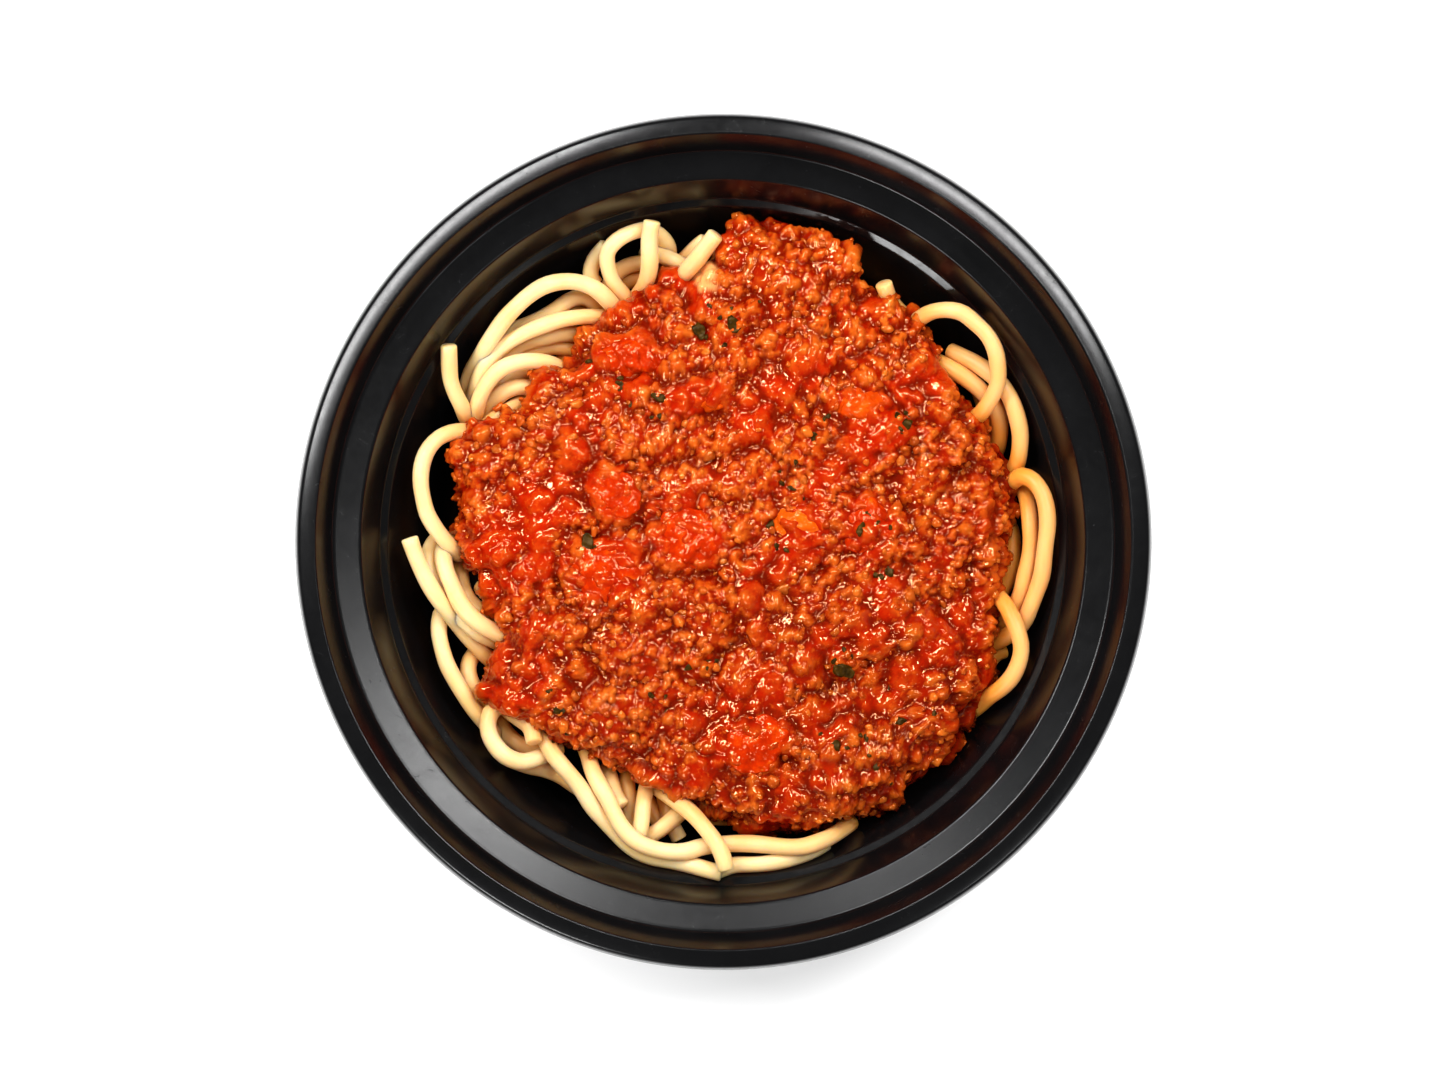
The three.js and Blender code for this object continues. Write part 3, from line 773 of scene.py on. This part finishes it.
def under_sauce(points):
    """The greatest height a strand's middle may have: under the sauce, or anything beyond its edge."""
    azimuth = np.degrees(np.arctan2(points[:, 1], points[:, 0]))
    inward = sauce_radius(azimuth) - np.hypot(points[:, 0], points[:, 1])
    nearest = [top_view.find((x, y, 0))[1] for x, y in points[:, :2]]
    roof = soft_top[nearest] - STRAND - 0.5
    return np.where(inward > 1.2, roof, 99.0)


def settled(paths, fixed, rounds=26):
    """Pushes strands apart where they would pass through each other, the wall or the base."""
    owner = np.concatenate([np.full(len(p), k) for k, p in enumerate(paths)])
    points = np.concatenate(paths)
    starts = np.cumsum([0] + [len(p) for p in paths])
    still = owner < fixed
    intended = points[:, 2].copy()
    clear = 2 * STRAND * 0.97
    for _ in range(rounds):
        tree = KDTree(len(points))
        for i, p in enumerate(points):
            tree.insert(p, i)
        tree.balance()
        push = np.zeros_like(points)
        hits = np.zeros(len(points))
        for i, p in enumerate(points):
            for q, j, away in tree.find_range(p, clear):
                if j <= i or owner[j] == owner[i]:
                    continue
                gap = p - np.array(q)
                gap[:2] *= 0.25  # they move up and down rather than sideways
                size = np.linalg.norm(gap)
                gap = gap / size if size > 1e-6 else np.array([0, 0, 1.0])
                if abs(gap[2]) < 0.3:
                    gap[2] = 0.3 if gap[2] >= 0 else -0.3
                amount = (clear - away) * 0.5
                push[i] += gap * amount
                push[j] -= gap * amount
                hits[i] += 1
                hits[j] += 1
        moved = push / np.maximum(hits, 1)[:, None]
        moved[still, :2] = 0
        points = points + moved
        for k, (a, b) in enumerate(zip(starts, starts[1:])):
            run = points[a:b]
            calm = run.copy()
            calm[1:-1] = 0.5 * run[1:-1] + 0.25 * (run[:-2] + run[2:])
            run[:, 2] = calm[:, 2]
            if k >= fixed:
                run[:, :2] = 0.8 * run[:, :2] + 0.2 * calm[:, :2]
        radius = np.hypot(points[:, 0], points[:, 1])
        low = np.maximum(wall_height(radius), wall_height(radius + STRAND * 0.95)) + 0.35
        low = np.maximum(low, wall_height(radius) + STRAND + 0.1)
        lifted = np.minimum(points[:, 2], np.where(still, intended + 2.0, 99.0))
        points[:, 2] = np.maximum(np.minimum(lifted, under_sauce(points)), low)
    return [points[a:b] for a, b in zip(starts, starts[1:])]


def tubes(paths, radius, sides, rng):
    """Round strands with plainly cut ends, as one mesh's points and faces."""
    verts, faces, size = [], [], 0
    turn = np.linspace(0, 2 * np.pi, sides, endpoint=False)
    for path in paths:
        ahead = np.gradient(path, axis=0)
        ahead /= np.linalg.norm(ahead, axis=1, keepdims=True)
        thickness = radius * rng.uniform(0.95, 1.05)
        side = np.cross(ahead[0], [0, 0, 1.0])
        side /= np.linalg.norm(side)
        rings = []
        for k, (point, forward) in enumerate(zip(path, ahead)):
            side = side - forward * side.dot(forward)
            side /= np.linalg.norm(side)
            up = np.cross(side, forward)
            swell = thickness * (1 + 0.03 * math.sin(k * 0.7 + thickness * 40))
            ring = side * np.cos(turn)[:, None] + up * np.sin(turn)[:, None]
            if k == 0:
                rings.append(point - forward * 0.22 + ring * swell * 0.86)
            rings.append(point + ring * swell)
            if k == len(path) - 1:
                rings.append(point + forward * 0.22 + ring * swell * 0.86)
        body = np.concatenate(rings)
        count = len(rings)
        index = size + np.arange(count * sides).reshape(count, sides)
        follow = np.roll(index, -1, axis=1)
        quads = np.stack([index[:-1], follow[:-1], follow[1:], index[1:]], axis=-1).reshape(-1, 4)
        faces.extend(quads.tolist())
        caps = ((index[0], path[0] - ahead[0] * 0.3, True), (index[-1], path[-1] + ahead[-1] * 0.3, False))
        for ring, end, flip in caps:
            middle = size + len(body)
            body = np.vstack([body, end])
            for k in range(sides):
                pair = (ring[k], ring[(k + 1) % sides])
                faces.append((middle, *(pair[::-1] if flip else pair)))
        verts.append(body)
        size += len(body)
    return np.concatenate(verts), faces


rng = np.random.default_rng(5)
seen = [smooth_path(stops, 1.6) for stops in SEEN]
buried = buried_strands(46, rng)
strands = settled(seen + buried, len(seen))
smoothed = [smooth_path(path[::2] if len(path) > 8 else path, 1.3) for path in strands]
verts, faces = tubes(smoothed, STRAND, 12, rng)
spaghetti = mesh_piece("spaghetti_strands", verts, faces, PASTA, "pasta")
edge = sauce_radius(np.degrees(np.arctan2(verts[:, 1], verts[:, 0])))
outside = np.hypot(verts[:, 0], verts[:, 1]) - edge
# Amber oil stain near the sauce's edge, and painted shade on the lower strands deep in the nest.
oil_stain_and_shade = np.clip(1 - outside / 7.0, 0, 1) ** 2 * 0.5 + np.clip((23 - verts[:, 2]) / 9, 0, 1) * 0.75
# The strands are also a darker amber towards the right.
rightward = np.clip(verts[:, 0] / np.maximum(np.hypot(verts[:, 0], verts[:, 1]), 1) * 1.6 - 0.6, 0, 1)
oil_stain_and_shade = np.clip(oil_stain_and_shade + 0.6 * rightward + 0.12 * waves(verts, 9, 51, 2), 0, 0.9)
paint(spaghetti, "oil_stain_and_shade", oil_stain_and_shade)


def nest_core():
    """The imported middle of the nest, out of sight under the strands."""
    count = 60
    azimuth, t = disc_grid(count)
    around_edge = np.clip((t - 0.75) / 0.25, 0, 1)
    reach = (nest_radius(azimuth) - 5) * np.clip(t / 0.75, 0, 1)
    height = 17 - 15 * around_edge + 0.8 * np.sin(reach * 1.9) * (around_edge == 0)
    angle = np.radians(azimuth)
    top = np.stack([reach * np.cos(angle), reach * np.sin(angle), height], axis=-1).reshape(-1, 3)
    return closed(top, count, 1.6)


core = mesh_piece("nest_core", *nest_core(), PASTA, "pasta")
# The hidden core is a deep amber all over, like the painted shade on the low strands.
paint(core, "oil_stain_and_shade", np.full(len(core.data.vertices), 0.7))
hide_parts("spaghetti")


# ------------------------------------------------------------------ crumbs, tomato and herbs on the sauce

def blob(subdivisions, squash, lumps, seed):
    """A soft uneven ball of unit size."""
    shape = bmesh.new()
    bmesh.ops.create_icosphere(shape, subdivisions=subdivisions, radius=1)
    points = np.array([v.co[:] for v in shape.verts])
    cells = [[v.index for v in f.verts] for f in shape.faces]
    shape.free()
    points *= (1 + lumps * waves(points, 1.5, seed, 2))[:, None]
    return points * squash, cells


def turned_to(normal, spin):
    """The matrix that stands a shape on a surface with this normal, spun about it."""
    up = Vector(normal).normalized()
    turn = up.to_track_quat("Z", "Y").to_matrix()
    spun = np.array([[math.cos(spin), -math.sin(spin), 0], [math.sin(spin), math.cos(spin), 0], [0, 0, 1]])
    return np.array(turn) @ spun


def crumbs(spacing, rng):
    """Small loose crumbs, half sunk, thick where there is mince and few on the smooth pulp."""
    shapes = [blob(2, np.ones(3), 0.42, 500 + k) for k in range(16)]
    cells = np.array(shapes[0][1])
    verts, faces, colours = [], [], []
    for i in scattered(spacing, rng, 0.0, 0.96):
        if rng.random() < 0.35 + 0.6 * pulpy[i]:
            continue
        wide = rng.uniform(0.35, 0.85) if rng.random() < 0.8 else rng.uniform(0.85, 1.3)
        squash = wide * np.array([1, rng.uniform(0.6, 0.95), rng.uniform(0.5, 0.85)])
        points = shapes[rng.integers(len(shapes))][0] * squash
        points = points @ turned_to(flat_normals[i], rng.uniform(0, 6.3)).T
        points += skin[i] - flat_normals[i] * squash[2] * rng.uniform(-0.1, 0.5)
        colour = MEAT_DARK + (MEAT_PALE - MEAT_DARK) * rng.random()
        faces.append(cells + len(points) * len(verts))
        verts.append(points)
        # Each crumb takes half the sauce's colour where it sits, with its painted shade and light.
        colours.append(np.tile(tint_light_and_shade[i] * 0.5 + colour * 0.5, (len(points), 1)))
    return inside_wall(np.concatenate(verts)), np.concatenate(faces).tolist(), np.concatenate(colours)


verts, faces, colours = crumbs(1.9, np.random.default_rng(77))
mince_piece = mesh_piece("mince_crumbs", verts, faces, SAUCE, "meat_sauce")
paint(mince_piece, "tint_light_and_shade", colours)

# Soft tomato pieces, each in the place of its solid: how pale, and how wrinkled.
verts, faces, pale, size = [], [], [], 0
PALE = {"tomato_piece_1": 0.7, "tomato_piece_4": 0.45, "tomato_piece_8": 0.35}
for k, name in enumerate(TOMATO_NODES):
    low, high = (np.array(corner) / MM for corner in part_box(name))
    centre, half = (low + high) / 2, (high - low) / 2
    points, cells = blob(5, half * [1.04, 1.04, 0.9], 0.16, 900 + k)
    outward = points / np.linalg.norm(points, axis=1, keepdims=True)
    wrinkle = 0.45 * waves(points, 3.6, 950 + k, 2) + 0.22 * waves(points, 1.5, 970 + k, 2)
    verts.append(points + outward * wrinkle[:, None] + centre - [0, 0, TOMATO_SUNK])
    pale.append(np.full(len(points), PALE.get(name, 0.08)))
    faces.extend([[j + size for j in cell] for cell in cells])
    size += len(points)
tomatoes = mesh_piece("tomato_pieces", np.concatenate(verts), faces, TOMATO, "tomato")
paint(tomatoes, "pale", np.concatenate(pale))
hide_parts(*TOMATO_NODES)

# Herb flakes: x, y and length in millimetres.
HERBS = [
    (34.5, 22, 3.0), (22.5, -24.5, 4.2), (-26, -0.7, 3.6), (-4.5, 40, 3.2), (2.2, 41, 3.4),
    (-19.5, 29.5, 2.2), (-12, 27, 2.4), (17.3, 20, 2.2), (9, 3.2, 2.6), (31.5, -5.8, 2.4), (26, 2.2, 2.2),
    (-11, -32, 2.6), (-31, -32, 2.2), (29, -42.5, 2.8), (33.5, -34, 2.4), (21.3, -38.5, 2.6),
    (-6.3, -23.5, 2.2), (13, 10, 1.6),
]
flecks = np.random.default_rng(91)
for x, y, length in list(HERBS):  # smaller flecks keep company with the larger ones
    for _ in range(3):
        HERBS.append((x + flecks.normal(0, 3), y + flecks.normal(0, 3), flecks.uniform(0.8, 1.5)))
tucked = (ts.ravel() > 0.95) * 1e6  # keeps flakes off the sauce's underside
verts, faces, size = [], [], 0
for k, (x, y, length) in enumerate(HERBS):
    i = int(np.argmin((skin[:, 0] - x) ** 2 + (skin[:, 1] - y) ** 2 + tucked))
    shape = np.random.default_rng(300 + k)
    points, cells = blob(3, np.array([length / 2, length / 3.2, 0.2]), 0.45, 400 + k)
    points[:, 2] += 0.25 * np.sin(points[:, 0] * 2.2 + k)
    points = points @ turned_to(flat_normals[i], shape.uniform(0, 6.3)).T
    verts.append(points + skin[i] + flat_normals[i] * 0.12)
    faces.extend([[j + size for j in cell] for cell in cells])
    size += len(points)
mesh_piece("herb_flakes", np.concatenate(verts), faces, HERB, "meat_sauce")


# ------------------------------------------------------------------ floor, lights and camera

bpy.ops.mesh.primitive_plane_add(size=6, location=(0, 0, -0.0002))
floor = bpy.context.object
floor.name = "floor"
floor.data.materials.append(floor_material())


def softbox(name, azimuth, elevation, distance, width, height, power):
    lamp = bpy.data.lights.new(name, "AREA")
    lamp.shape = "RECTANGLE"
    lamp.size, lamp.size_y = width, height
    lamp.energy = power
    light = bpy.data.objects.new(name, lamp)
    bpy.context.scene.collection.objects.link(light)
    a, e = math.radians(azimuth), math.radians(elevation)
    way = Vector((math.cos(a) * math.cos(e), math.sin(a) * math.cos(e), math.sin(e)))
    light.location = way * distance
    light.rotation_euler = way.to_track_quat("Z", "Y").to_euler()
    return light


softbox("key_upper_left", 137, 50, 0.95, 0.74, 0.08, 7.0)
softbox("side_upper_right", 51, 52, 0.90, 0.46, 0.08, 3.8)
softbox("overhead_right", 44, 74, 1.0, 0.18, 0.05, 1.7)
softbox("overhead_left", 116, 74, 1.0, 0.07, 0.05, 0.4)
softbox("fill_lower_left", 240, 33, 1.1, 0.40, 0.055, 3.0)
softbox("fill_lower_right", 312, 40, 1.1, 0.26, 0.08, 0.6)

# The room: a bright surround for soft shade, dim in reflections so that dark and wet surfaces keep
# their depth.
world = bpy.data.worlds.new("studio")
bpy.context.scene.world = world
world.use_nodes = True
room = world.node_tree
ray = room.nodes.new("ShaderNodeLightPath")
level = room.nodes.new("ShaderNodeMapRange")
level.inputs["To Min"].default_value = 0.62
level.inputs["To Max"].default_value = 0.12
room.links.new(ray.outputs["Is Glossy Ray"], level.inputs["Value"])
room.nodes["Background"].inputs["Color"].default_value = (1, 1, 1, 1)
room.links.new(level.outputs["Result"], room.nodes["Background"].inputs["Strength"])

EYE = 0.700  # metres above the rim
camera_data = bpy.data.cameras.new("camera")
camera_data.sensor_width = 36
camera_data.lens = 93.7  # both in millimetres
camera = bpy.data.objects.new("camera", camera_data)
bpy.context.scene.collection.objects.link(camera)
camera.location = (0.00013, -0.00026, RIM_HEIGHT + EYE)
camera.rotation_euler = (0, 0, 0)
bpy.context.scene.camera = camera
bpy.context.scene.view_settings.view_transform = "Standard"
bpy.context.scene.view_settings.look = "Medium High Contrast"
